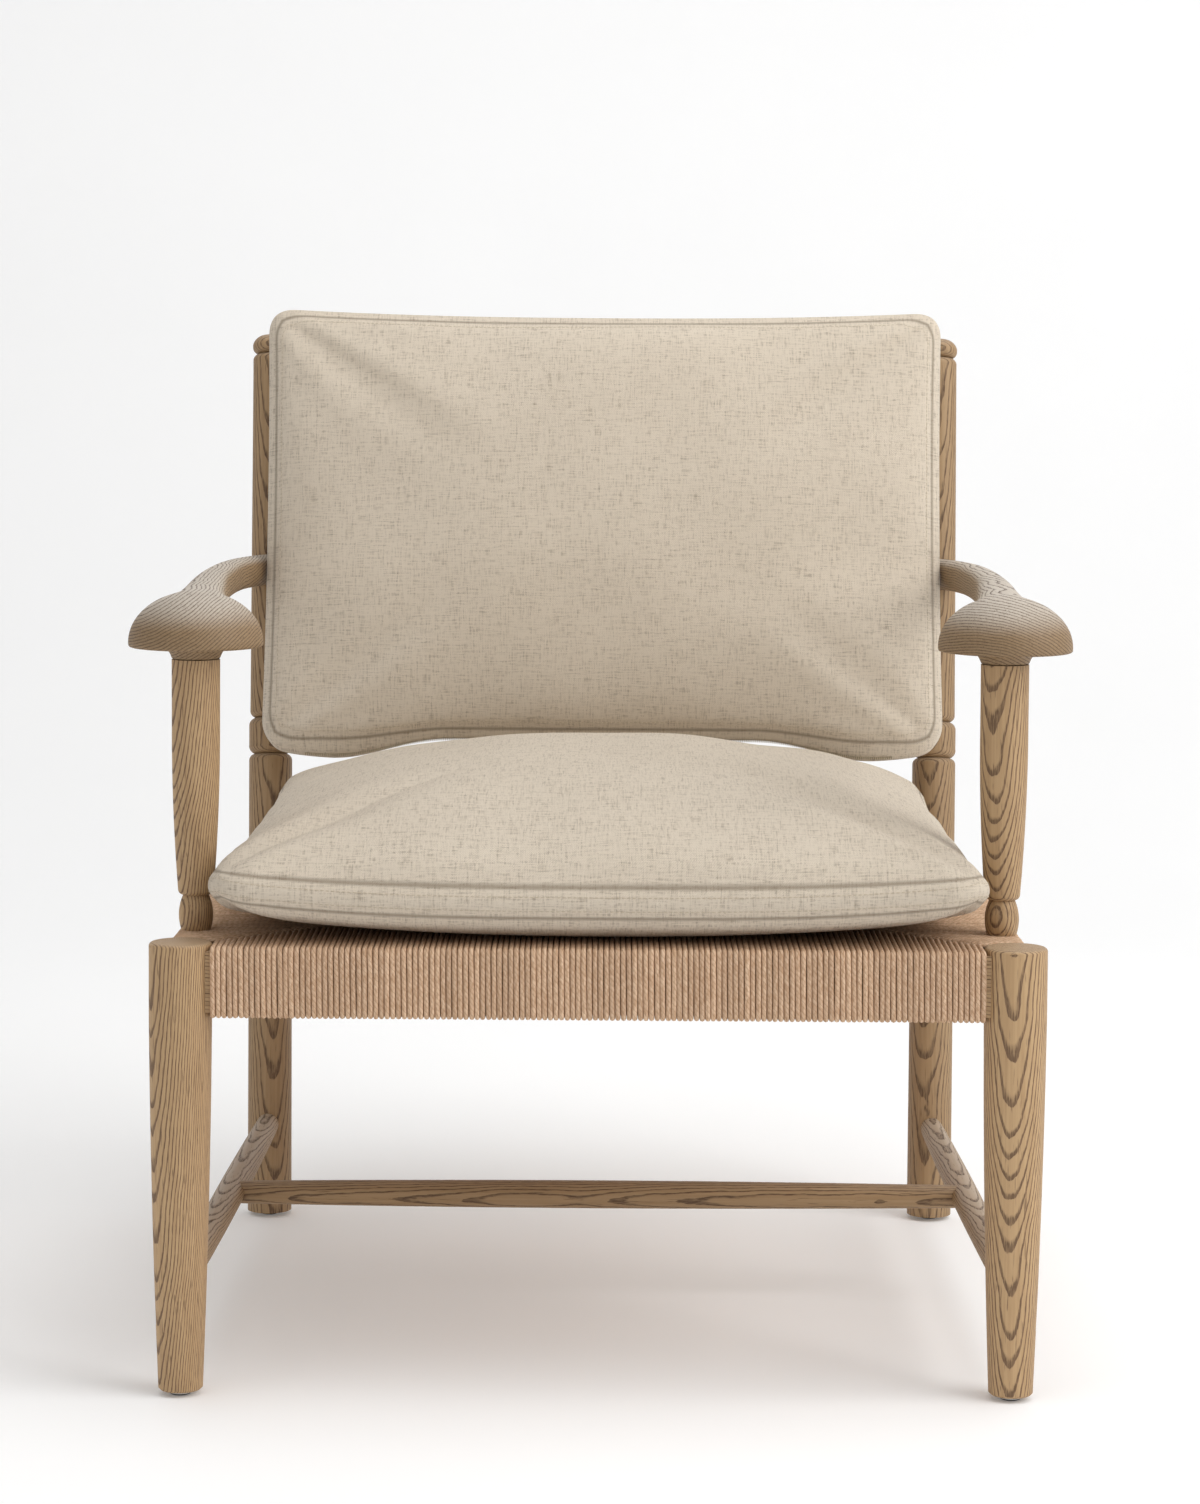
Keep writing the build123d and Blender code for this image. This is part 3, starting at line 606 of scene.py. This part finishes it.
def tubes(name, paths, radii, tints, material):
    """One mesh of round cords with uv along and round each."""
    vertices, faces, uvs, shades = [], [], [], []
    for path, radius, tint in zip(paths, radii, tints):
        path = [Vector(p) for p in path]
        first = len(vertices)
        count = len(path)
        travelled = 0.0
        lengths = []
        for i, p in enumerate(path):
            if i:
                travelled += (p - path[i - 1]).length
            lengths.append(travelled)
        plane_normal = (path[count // 2] - path[0]).cross(path[-1] - path[0]).normalized()
        for i, p in enumerate(path):
            before, after = path[max(i - 1, 0)], path[min(i + 1, count - 1)]
            tangent = (after - before).normalized()
            side = tangent.cross(plane_normal).normalized()
            for k in range(CORD_SIDES):
                angle = 2 * math.pi * k / CORD_SIDES
                vertices.append(p + (plane_normal * math.cos(angle)
                                     + side * math.sin(angle)) * radius)
                shades.append(tint)
        for i in range(count - 1):
            for k in range(CORD_SIDES):
                a = first + i * CORD_SIDES + k
                b = first + i * CORD_SIDES + (k + 1) % CORD_SIDES
                faces.append((a, b, b + CORD_SIDES, a + CORD_SIDES))
                u0, u1 = lengths[i] + tint, lengths[i + 1] + tint
                v0, v1 = k / CORD_SIDES, (k + 1) / CORD_SIDES
                uvs += [(u0, v0), (u0, v1), (u1, v1), (u1, v0)]
        faces.append(tuple(first + k for k in reversed(range(CORD_SIDES))))
        uvs += [(0.0, 0.0)] * CORD_SIDES
        last = first + (count - 1) * CORD_SIDES
        faces.append(tuple(last + k for k in range(CORD_SIDES)))
        uvs += [(0.0, 0.0)] * CORD_SIDES
    obj = mesh_object(name, vertices, faces, material)
    layer = obj.data.uv_layers.new(name="cord")
    layer.data.foreach_set("uv", np.array(uvs, np.float32).ravel())
    float_attribute(obj.data, "cord_tint", shades)
    return obj


def weave_seat():
    """The cord runs over each rail to the seat's diagonals, above and below."""
    rng = random.Random(7)
    material = paper_cord("paper_cord_weave")
    low, high = FRONT_RAIL[0].z, FRONT_RAIL[1].z
    leg_y = LEG_AXIS.y
    front_face = -FRONT_RAIL[0].y
    rear_face = REAR_RAIL[1].y
    half_front = LEG_AXIS.x - LEG_RADIUS - CORD_R
    rail_out = SIDE_RAIL[1].x
    first_y = leg_y + LEG_RADIUS + CORD_R
    last_y = POST_LOW.y + POST_BACK
    mid = (low + high) / 2

    def jitter(size):
        return rng.uniform(-size, size)

    groups = {"front": [], "rear": [], "left": [], "right": []}
    count = int(2 * half_front / CORD_PITCH) + 1
    step = 2 * half_front / (count - 1)
    for i in range(count):
        x = -half_front + i * step
        reach = min(i, count - 1 - i) * step
        lean = jitter(0.35 * MM) + 0.45 * MM
        lift = jitter(0.28 * MM)
        inner = -(first_y + max(reach, DIVE) - 2 * MM)
        flat = wrap_path(inner, front_face + lift, low, high)
        sway = jitter(0.25 * MM)
        path = [(x + jitter(0.06 * MM) + lean * (mid - z) / (high - low)
                 + sway * math.cos(60 * (z - mid)), -d, z + jitter(0.08 * MM))
                for d, z in flat]
        groups["front"].append(path)
        inner = last_y - max(reach, DIVE) - 2 * MM
        flat = wrap_path(inner, rear_face + jitter(0.28 * MM), low, high)
        groups["rear"].append([(x + jitter(0.1 * MM), d, z) for d, z in flat])
    side_count = int((last_y - first_y) / CORD_PITCH)
    for side in (-1, 1):
        for i in range(side_count):
            y = first_y + i * CORD_PITCH
            reach = min(i, side_count - 1 - i) * CORD_PITCH
            reach = min(reach, half_front - 1 * MM)
            rail_x = rail_out - RAIL_DRIFT * (y - leg_y)
            offset = y - ARM_POST.y
            if abs(offset) < POST_GAP:
                y += math.copysign(POST_PUSH, offset)
            inner = half_front - max(reach, DIVE)
            flat = wrap_path(inner, rail_x + jitter(0.25 * MM), low, high)
            groups[side_name(side)].append([(side * d, y + jitter(0.1 * MM), z)
                                            for d, z in flat])
    for name, paths in groups.items():
        radii = [CORD_R * rng.uniform(0.955, 1.01) for _ in paths]
        tints = [rng.random() for _ in paths]
        obj = tubes("cord_wrap_" + name, paths, radii, tints, material)
        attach(obj, "frame")
        if name == "front":
            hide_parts("woven_seat")


# ------------------------------------------------------------------ cushions
SEAM_DEPTH = 1.6 * MM
ZIP_DARK = (0.42, 0.35, 0.24)
ZIP_LIGHT = (0.55, 0.47, 0.34)
CELL = 6 * MM                                 # mesh cell of a cushion


def rounded_square(a, b, half_x, half_y, corner):
    """Point of a rounded rectangle for a point (a, b) on the rim of the unit square."""
    px, py = a * half_x, b * half_y
    qx = min(max(px, corner - half_x), half_x - corner)
    qy = min(max(py, corner - half_y), half_y - corner)
    dx, dy = px - qx, py - qy
    if dx and dy:
        scale = corner / math.hypot(dx, dy)
        return qx + dx * scale, qy + dy * scale
    return px, py


def smooth(value, low, high):
    t = min(max((value - low) / (high - low), 0.0), 1.0)
    return t * t * (3 - 2 * t)


class Cushion:
    """A boxed cushion: two crowned panels on a narrow band, as one quad mesh.

    Local x is the width, local y the other side of its face and local z the thickness.
    levels lists the band's rows as (outward offset, height), from the lower seam to the
    upper one. crown and belly are the (depth, roundness) of the two panels, dip is the share
    by which the sides pull in, lift the rise of the corners, and sag moves the lower edge at
    its (ends, middle, rear seam). spacing is the size of a mesh cell.
    """

    def __init__(self, half_x, half_y, corner, levels, crown, belly, spacing, dip=(0, 0),
                 lift=0.0, sag=(0, 0, 0)):
        self.half = (half_x, half_y)
        self.corner, self.levels = corner, levels
        self.crown, self.belly, self.dip, self.lift = crown, belly, dip, lift
        self.sag = sag
        self.nx = 2 * int(half_x / spacing)
        self.ny = 2 * int(half_y / spacing)
        self.vertices, self.faces = [], []
        self.rims = []
        self.build()

    def rim_steps(self):
        """Grid steps round the rim of the unit square."""
        nx, ny = self.nx, self.ny
        steps = [(i, 0) for i in range(nx)] + [(nx, j) for j in range(ny)]
        steps += [(nx - i, ny) for i in range(nx)] + [(0, ny - j) for j in range(ny)]
        return steps

    def unit(self, i, j):
        return 2 * i / self.nx - 1, 2 * j / self.ny - 1

    def lower_edge(self, a, height):
        """How far the lower edge hangs: less in the middle, where it rests on something."""
        outer = smooth(abs(a), 0.45, 0.80)
        rear = 1 - smooth(height, self.levels[0][1], self.levels[-1][1])
        ends, centre, lean = self.sag
        return centre + (ends - centre) * outer + lean * rear * outer * (1 - abs(a) ** 9)

    def place(self, a, b, offset, height):
        """Plan position of a grid point; the sides pull in between the corners."""
        ring = max(abs(a), abs(b))
        if ring < 1e-9:
            return 0.0, 0.0
        x, y = rounded_square(a / ring, b / ring, self.half[0] + offset,
                              self.half[1] + offset, self.corner)
        x, y = x * ring, y * ring
        x *= 1 - self.dip[0] * (1 - abs(b) ** 2.4) * ring ** 4
        y *= 1 - self.dip[1] * (1 - abs(a) ** 2.4) * ring ** 4 * (b > 0)
        return x, y + self.lower_edge(a / ring, height) * max(0.0, -b) ** 3

    def rise(self, a, b):
        """Seams climb a little towards the corners."""
        return self.lift * (abs(a) * abs(b)) ** 3

    def panel(self, offset, height, depth, power):
        """Grid of one crowned panel, which shares its rim with the band."""
        start = len(self.vertices)
        for j in range(self.ny + 1):
            for i in range(self.nx + 1):
                a, b = self.unit(i, j)
                x, y = self.place(a, b, offset, height)
                swell = ((1 - abs(a) ** 2.3) * (1 - abs(b) ** 2.3)) ** power
                self.vertices.append((x, y, height + self.rise(a, b) + depth * swell))
        return start

    def index(self, start, i, j):
        return start + j * (self.nx + 1) + i

    def build(self):
        low_offset, low_height = self.levels[0]
        high_offset, high_height = self.levels[-1]
        self.low = self.panel(low_offset, low_height, -self.belly[0], self.belly[1])
        self.high = self.panel(high_offset, high_height, self.crown[0], self.crown[1])
        for start, flip in ((self.low, True), (self.high, False)):
            for j in range(self.ny):
                for i in range(self.nx):
                    quad = [self.index(start, i, j), self.index(start, i + 1, j),
                            self.index(start, i + 1, j + 1), self.index(start, i, j + 1)]
                    self.faces.append(quad[::-1] if flip else quad)
        steps = self.rim_steps()
        rows = [[self.index(self.low, i, j) for i, j in steps]]
        for offset, height in self.levels[1:-1]:
            row = []
            for i, j in steps:
                a, b = self.unit(i, j)
                x, y = self.place(a, b, offset, height)
                row.append(len(self.vertices))
                self.vertices.append((x, y, height + self.rise(a, b)))
            rows.append(row)
        rows.append([self.index(self.high, i, j) for i, j in steps])
        self.rims = rows
        count = len(steps)
        for lower, upper in zip(rows, rows[1:]):
            for k in range(count):
                n = (k + 1) % count
                self.faces.append((lower[k], lower[n], upper[n], upper[k]))

    def row_part(self, row, first, last):
        """Vertices of one band row along its lower side, between two shares of the width."""
        return self.rims[row][int(first * self.nx):int(last * self.nx) + 1]

    def inner_line(self, start, inset):
        """Vertex chain on a panel, a whole number of grid steps inside its rim."""
        nx, ny = self.nx - inset, self.ny - inset
        steps = [(i, inset) for i in range(inset, nx)]
        steps += [(nx, j) for j in range(inset, ny)]
        steps += [(i, ny) for i in range(nx, inset, -1)]
        steps += [(inset, j) for j in range(ny, inset, -1)]
        return [self.index(start, i, j) for i, j in steps]


def inflate(obj, pressure, cap, fixed):
    """Cloth under pressure; fixed holds the weight of each vertex that stays in place."""
    rest = points_of(obj.data)
    group = obj.vertex_groups.new(name="held")
    for i, weight in enumerate(fixed):
        if weight > 0.01:
            group.add([i], float(weight), "REPLACE")
    cloth = obj.modifiers.new("cloth", "CLOTH")
    settings = cloth.settings
    settings.quality = 4
    settings.mass = 0.35
    settings.tension_stiffness = 12.0
    settings.compression_stiffness = 9.0
    settings.shear_stiffness = 4.0
    settings.bending_stiffness = 2.5
    settings.use_pressure = True
    settings.uniform_pressure_force = pressure
    settings.vertex_group_mass = "held"
    settings.pin_stiffness = 1.0
    settings.effector_weights.gravity = 0.0
    cloth.collision_settings.use_collision = False
    cloth.collision_settings.use_self_collision = False
    cloth.point_cache.frame_start, cloth.point_cache.frame_end = 1, 20
    for number in range(1, 21):
        scene.frame_set(number)
    only(obj)
    bpy.ops.object.modifier_apply(modifier=cloth.name)
    moved = points_of(obj.data) - rest
    far = np.linalg.norm(moved, axis=1)
    share = np.where(far > cap, cap / np.maximum(far, 1e-9), 1.0)
    set_points(obj.data, rest + moved * share[:, None])
    scene.frame_set(1)
    obj.vertex_groups.clear()


def stitches(name, line, normals, material, length=3.1 * MM, gap=1.1 * MM,
             radius=0.32 * MM, ring=True):
    """Short raised stitches, or a zip's coil, along a line of points on a cushion."""
    closed = np.vstack([line, line[:1]]) if ring else np.array(line)
    normals = np.vstack([normals, normals[:1]]) if ring else np.array(normals)
    steps = np.linalg.norm(np.diff(closed, axis=0), axis=1)
    along = np.concatenate([[0], np.cumsum(steps)])
    total = along[-1]
    count = int(total / (length + gap))
    pitch = total / count

    def at(s):
        s = s % total if ring else min(s, total)
        return (Vector([np.interp(s, along, closed[:, k]) for k in range(3)]),
                Vector([np.interp(s, along, normals[:, k]) for k in range(3)]).normalized())

    vertices, faces = [], []
    sides = 5
    for n in range(count):
        start = n * pitch
        first = len(vertices)
        profile = ((0.0, -0.2, 0.35), (0.22, 0.45, 0.9), (0.5, 0.7, 1.0), (0.78, 0.45, 0.9),
                   (1.0, -0.2, 0.35))
        for share, height, width in profile:
            p, normal = at(start + share * length)
            ahead, _ = at(start + share * length + 0.4 * MM)
            tangent = (ahead - p).normalized()
            across = normal.cross(tangent).normalized()
            centre = p + normal * radius * height
            for k in range(sides):
                angle = 2 * math.pi * k / sides
                vertices.append(centre + (across * math.cos(angle) + normal * math.sin(angle))
                                * radius * width)
        for i in range(len(profile) - 1):
            for k in range(sides):
                a, b = first + i * sides + k, first + i * sides + (k + 1) % sides
                faces.append((a, a + sides, b + sides, b))
        faces.append(tuple(first + k for k in range(sides)))
        end = first + (len(profile) - 1) * sides
        faces.append(tuple(end + k for k in reversed(range(sides))))
    return mesh_object(name, vertices, faces, material)


def vertex_normals(mesh):
    flat = np.empty(len(mesh.vertices) * 3)
    mesh.vertices.foreach_get("normal", flat)
    return flat.reshape(-1, 3)


def crease(points, normals, start, end, depth, width):
    """Pinches the surface in along a short line."""
    start, end = np.array(start), np.array(end)
    run = end - start
    share = np.clip((points - start) @ run / (run @ run), 0, 1)
    distance = np.linalg.norm(points - (start + share[:, None] * run), axis=1)
    return points - normals * (depth * np.exp(-(distance / width) ** 2))[:, None]


PRESSURE = 3.0
RIPPLE = 1.6 * MM


def finish_cushion(name, shape, transform, material, sewing, body, shape_seed, cap, topstitch,
                   zip_side, floor=None, pinches=()):
    """Inflates the sewn shape, creases its seams, and adds its stitches and its zip.

    The seams hold their place and the panels swell by cap at most. Below floor, a height in
    the cushion's own axes, it rests on the seat and is flat.
    """
    vertices = [transform @ Vector(v) for v in shape.vertices]
    obj = mesh_object(name, vertices, shape.faces, material)
    inverse = transform.inverted()
    fixed = np.zeros(len(vertices))
    for row in shape.rims:
        fixed[row] = 1.0
    for i, v in enumerate(shape.vertices):
        if floor is not None and v[2] < floor + 2 * MM:
            fixed[i] = 1.0
    inflate(obj, PRESSURE, cap, fixed)
    points = points_of(obj.data)
    rng = np.random.default_rng(shape_seed)
    local = np.array([inverse @ Vector(p) for p in points])
    waves = np.zeros(len(local))
    for _ in range(7):
        direction = rng.normal(size=2)
        direction /= np.linalg.norm(direction)
        length = rng.uniform(0.10, 0.34)
        phase = rng.uniform(0, 2 * math.pi)
        waves += np.sin((local[:, :2] @ direction) * 2 * math.pi / length + phase)
    normals = vertex_normals(obj.data)
    upper = np.clip((local[:, 2] - shape.levels[-1][1]) / (20 * MM), 0, 1)
    points = points + normals * (waves * RIPPLE / 3)[:, None] * upper[:, None]
    seam_weight = np.zeros(len(points))
    for chain in (shape.rims[0], shape.rims[-1]):
        points[chain] -= normals[chain] * SEAM_DEPTH
        seam_weight[chain] = 1.0
    set_points(obj.data, points)
    float_attribute(obj.data, "seam", seam_weight)
    subdivide = obj.modifiers.new("subdivide", "SUBSURF")
    subdivide.levels = subdivide.render_levels = 1
    apply_all(obj)
    points, normals = points_of(obj.data), vertex_normals(obj.data)
    for start, end in pinches:
        points = crease(points, normals, start, end, 4.5 * MM, 3.2 * MM)
    if floor is not None:
        points[:, 2] = np.maximum(points[:, 2], (transform @ Vector((0, 0, floor))).z)
    set_points(obj.data, points)
    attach(obj, body)
    normals = vertex_normals(obj.data)
    for number, chain in enumerate(topstitch):
        line = stitches(f"{name}_stitches_{number}", points[chain], normals[chain], sewing)
        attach(line, body)
    coil = stitches(name + "_zip", points[zip_side], normals[zip_side],
                    moulded(name + "_zip", ZIP_DARK, ZIP_LIGHT),
                    length=1.3 * MM, gap=0.5 * MM, radius=1.5 * MM, ring=False)
    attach(coil, body)
    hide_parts(body + "_zip")
    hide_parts(body + "_cover", body + "_insert")
    return obj


def make_seat_cushion(sewing):
    low, high = SEAT_PAD
    half_x = (high.x - low.x) / 2
    half_y = (high.y - low.y) / 2
    centre = Vector(((low.x + high.x) / 2, (low.y + high.y) / 2, low.z))
    levels = ((-2 * MM, 21.5 * MM), (0.4 * MM, 27.5 * MM), (1 * MM, 33 * MM),
              (0.2 * MM, 38.5 * MM), (-2.5 * MM, 44.5 * MM))
    shape = Cushion(half_x + 5 * MM, half_y - 1 * MM, 34 * MM, levels, crown=(71 * MM, 0.43),
                    belly=(21 * MM, 0.24), spacing=CELL, dip=(0.014, 0.008), lift=13 * MM)
    pinches = []
    for side in (-1, 1):
        x, y, z = side * (half_x - 15 * MM), low.y + 14 * MM, low.z + 66 * MM
        pinches.append(((x, y - 3 * MM, z - 5 * MM), (x - side * 2 * MM, y + 6 * MM, z + 6 * MM)))
    rear_side = shape.rims[2][shape.nx + shape.ny:2 * shape.nx + shape.ny + 1]
    cut = int(0.07 * shape.nx)
    obj = finish_cushion("seat_cushion_linen", shape, Matrix.Translation(centre),
                         linen("seat_linen", shade=0.97), sewing, "seat_cushion",
                         shape_seed=11, cap=14 * MM, topstitch=[shape.rims[1], shape.rims[-2]],
                         zip_side=rear_side[cut:-cut], floor=0.4 * MM, pinches=pinches)


BACK_LEAN = math.atan2(0.152, 0.847)


def make_back_cushion(sewing):
    low, high = BACK_PAD
    half_x = (high.x - low.x) / 2
    lean = BACK_LEAN
    length = (high.z - low.z) / math.cos(lean)
    along = Vector((0, math.sin(lean), math.cos(lean)))
    outward = Vector((0, -math.cos(lean), math.sin(lean)))
    bevel = 47 * MM
    foot = Vector((0, high.y - (length - bevel) * math.sin(lean),
                   low.z - bevel * math.sin(lean)))
    centre = foot + along * length / 2
    turn = Matrix((Vector((1, 0, 0)), along, outward)).transposed().to_4x4()
    levels = ((-5 * MM, 36 * MM), (-1 * MM, 43 * MM), (0, 49 * MM), (-2.5 * MM, 55 * MM),
              (-8 * MM, 61 * MM))
    shape = Cushion(half_x + 5 * MM, length / 2 - 1 * MM, 24 * MM, levels,
                    crown=(42 * MM, 0.46), belly=(30 * MM, 0.40), spacing=CELL,
                    dip=(0.008, 0.036), sag=(-7 * MM, 3 * MM, -15 * MM))
    topstitch = [shape.inner_line(shape.high, 1), shape.inner_line(shape.low, 1)]
    obj = finish_cushion("back_cushion_linen", shape, Matrix.Translation(centre) @ turn,
                         linen("back_linen", lean=-lean, seed=4.0), sewing, "back_cushion",
                         shape_seed=23, cap=8 * MM, topstitch=topstitch,
                         zip_side=shape.row_part(2, 0.07, 0.93))


# ------------------------------------------------------------------ studio
def see_through_from_behind(graph):
    """The back of the sweep stays out of the way of a camera behind the chair."""
    tree = graph.tree
    side = tree.nodes.new("ShaderNodeNewGeometry")
    clear = tree.nodes.new("ShaderNodeBsdfTransparent")
    blend = tree.nodes.new("ShaderNodeMixShader")
    output = tree.nodes["Material Output"]
    tree.links.new(side.outputs["Backfacing"], blend.inputs[0])
    tree.links.new(graph.shader.outputs["BSDF"], blend.inputs[1])
    tree.links.new(clear.outputs["BSDF"], blend.inputs[2])
    tree.links.new(blend.outputs["Shader"], output.inputs["Surface"])


def studio():
    """A pale floor that sweeps up behind the chair, a white sky and three soft lamps."""
    floor_material = Graph("pale_floor")
    mottle = floor_material.noise(object_space(floor_material), scale=3.0, detail=3.0)
    floor_colour = floor_material.mix(mottle, rgba((0.90, 0.90, 0.90)), rgba((0.93, 0.93, 0.93)))
    floor_material.shader.inputs["Emission Color"].default_value = (1.0, 1.0, 1.0, 1.0)
    floor_material.shader.inputs["Emission Strength"].default_value = 0.10
    floor_material.finish(Base_Color=floor_colour, Roughness=0.9)
    see_through_from_behind(floor_material)
    sweep_y, radius, top, reach = 3.2, 1.2, 6.0, 9.0
    profile = [(-reach, 0.0), (sweep_y - radius, 0.0)]
    steps = 12
    for k in range(1, steps + 1):
        angle = math.radians(90 * k / steps)
        profile.append((sweep_y - radius + radius * math.sin(angle),
                        radius - radius * math.cos(angle)))
    profile.append((sweep_y, top))
    vertices, faces = [], []
    for x in (-reach, reach):
        vertices += [(x, y, z) for y, z in profile]
    count = len(profile)
    for k in range(count - 1):
        faces.append((k, k + 1, count + k + 1, count + k))
    floor = mesh_object("studio_floor", vertices, [f[::-1] for f in faces],
                        floor_material.material)

    world = bpy.data.worlds.new("studio")
    scene.world = world
    world.use_nodes = True
    world.node_tree.nodes["Background"].inputs["Color"].default_value = (1.0, 1.0, 1.0, 1.0)
    world.node_tree.nodes["Background"].inputs["Strength"].default_value = 0.50

    def lamp(name, place, target, size, power):
        data = bpy.data.lights.new(name, "AREA")
        data.shape = "RECTANGLE"
        data.size, data.size_y = size
        data.energy = power
        obj = bpy.data.objects.new(name, data)
        scene.collection.objects.link(obj)
        obj.location = place
        obj.rotation_mode = "QUATERNION"
        obj.rotation_quaternion = (Vector(target) - Vector(place)).to_track_quat("-Z", "Y")

    lamp("key", (3.2, -1.5, 2.5), (0, 0, 0.45), (2.8, 2.8), 88)
    lamp("fill", (-2.8, -2.8, 1.5), (0, 0, 0.45), (2.2, 2.2), 7)
    lamp("overhead", (0.4, -0.2, 3.2), (0, 0, 0), (2.4, 2.4), 34)


def camera():
    """Straight in front, a little above the arms, with a slight roll."""
    data = bpy.data.cameras.new("camera")
    obj = bpy.data.objects.new("camera", data)
    scene.collection.objects.link(obj)
    distance, height = 2.8, 0.795
    pitch, roll = math.radians(3.4), math.radians(0.38)
    data.sensor_width = 36.0
    data.lens = 85.907
    data.shift_x, data.shift_y = -0.00931, -0.09894
    obj.location = (0.0105, LEG_AXIS.y - distance, height)
    obj.rotation_mode = "XYZ"
    look = Euler((math.pi / 2 - pitch, 0.0, 0.0)).to_matrix()
    obj.rotation_euler = (look @ Matrix.Rotation(roll, 3, "Z")).to_euler()
    data.dof.use_dof = False
    data.clip_start, data.clip_end = 0.05, 60.0
    scene.camera = obj


dress_frame()
dress_arms()
weave_seat()
sewing = thread("linen_thread")
make_seat_cushion(sewing)
make_back_cushion(sewing)
studio()
camera()
